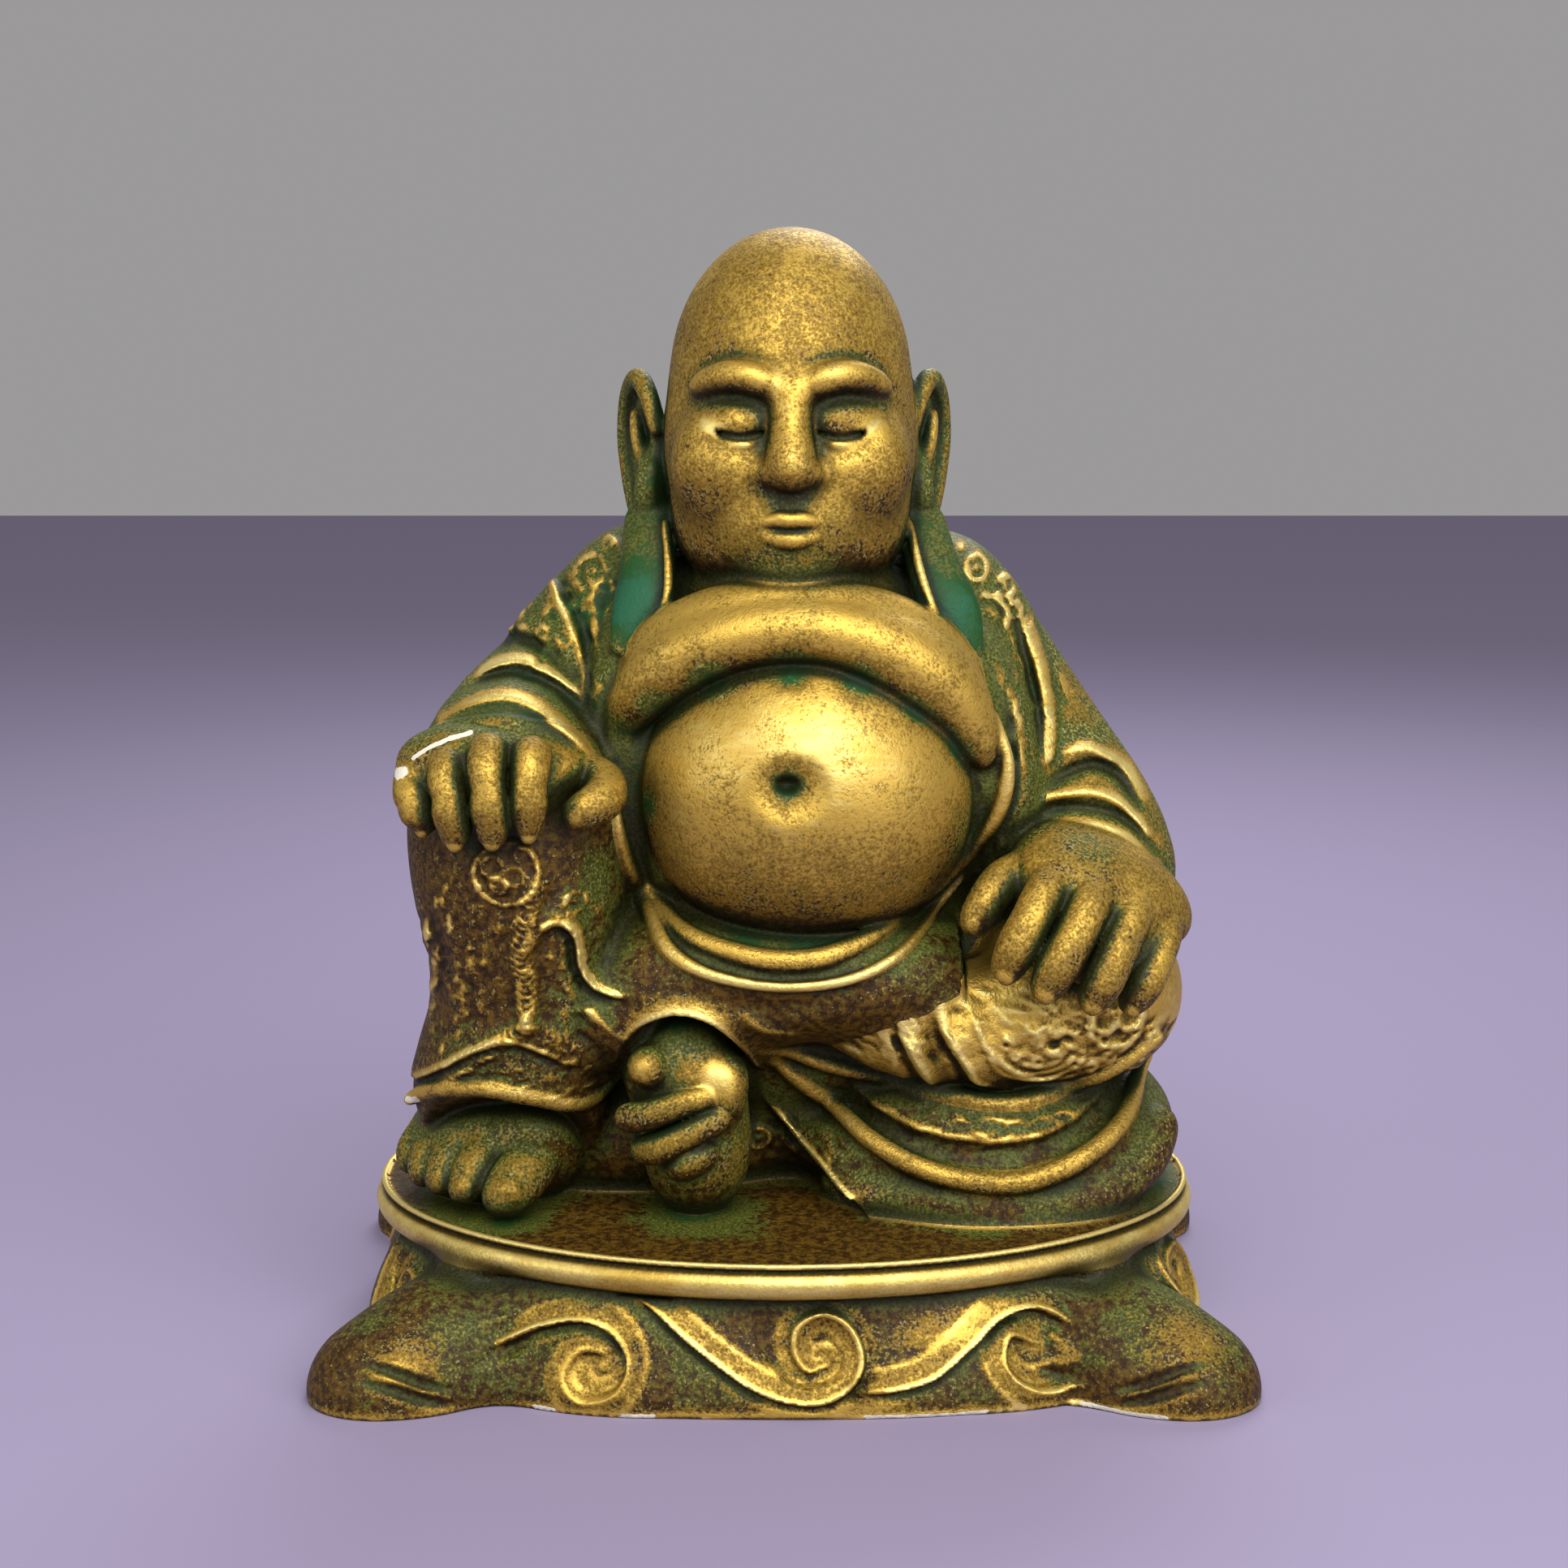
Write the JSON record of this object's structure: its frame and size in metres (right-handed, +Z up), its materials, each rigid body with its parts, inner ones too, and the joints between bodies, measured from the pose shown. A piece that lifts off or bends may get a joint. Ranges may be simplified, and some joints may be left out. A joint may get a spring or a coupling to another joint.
{
  "type": "buddha statue",
  "caption": "Seated laughing-buddha figure in cast plaster with a bare belly, hands on the knees, on an oval plinth carved with waves.",
  "frame": {"origin": "centre of the plinth's underside, on the surface that the statue stands on", "axes": "+Z up, -Y the way the figure faces, +X towards the figure's left hand"},
  "size_m": [0.2872, 0.2118, 0.345],
  "materials": {
    "gilt": "antique gold bronze paint, rubbed over green, satin",
    "verdigris": "green verdigris glaze with gold on the high points, satin to matt",
    "brown_wash": "brown glaze over gold in the cloth relief, satin"
  },
  "bodies": {
    "root": {"plinth_base": "verdigris", "plinth_slab": "gilt", "corner_foot_front_left": "verdigris", "corner_foot_front_right": "verdigris", "corner_foot_back_left": "verdigris", "corner_foot_back_right": "verdigris", "wave_scroll_01": "gilt", "wave_scroll_02": "gilt", "wave_scroll_03": "gilt", "wave_scroll_04": "gilt", "wave_scroll_05": "gilt", "wave_scroll_06": "gilt", "wave_scroll_07": "gilt", "wave_scroll_08": "gilt", "wave_scroll_09": "gilt", "wave_scroll_10": "gilt", "right_hand": "gilt", "left_hand": "gilt", "right_foot": "gilt", "left_foot": "gilt", "robe_edge": "verdigris", "skirt_fold_upper": "verdigris", "skirt_fold_lower": "verdigris", "right_hem": "verdigris", "belly": "gilt", "chest": "gilt", "head": "gilt", "right_ear": "verdigris", "left_ear": "verdigris", "right_leg": "brown_wash", "left_leg": "brown_wash", "right_sleeve": "verdigris", "left_sleeve": "verdigris", "lap_cloth": "brown_wash", "robe_body": "verdigris", "robe_skirt": "verdigris"}
  },
  "joints": []
}
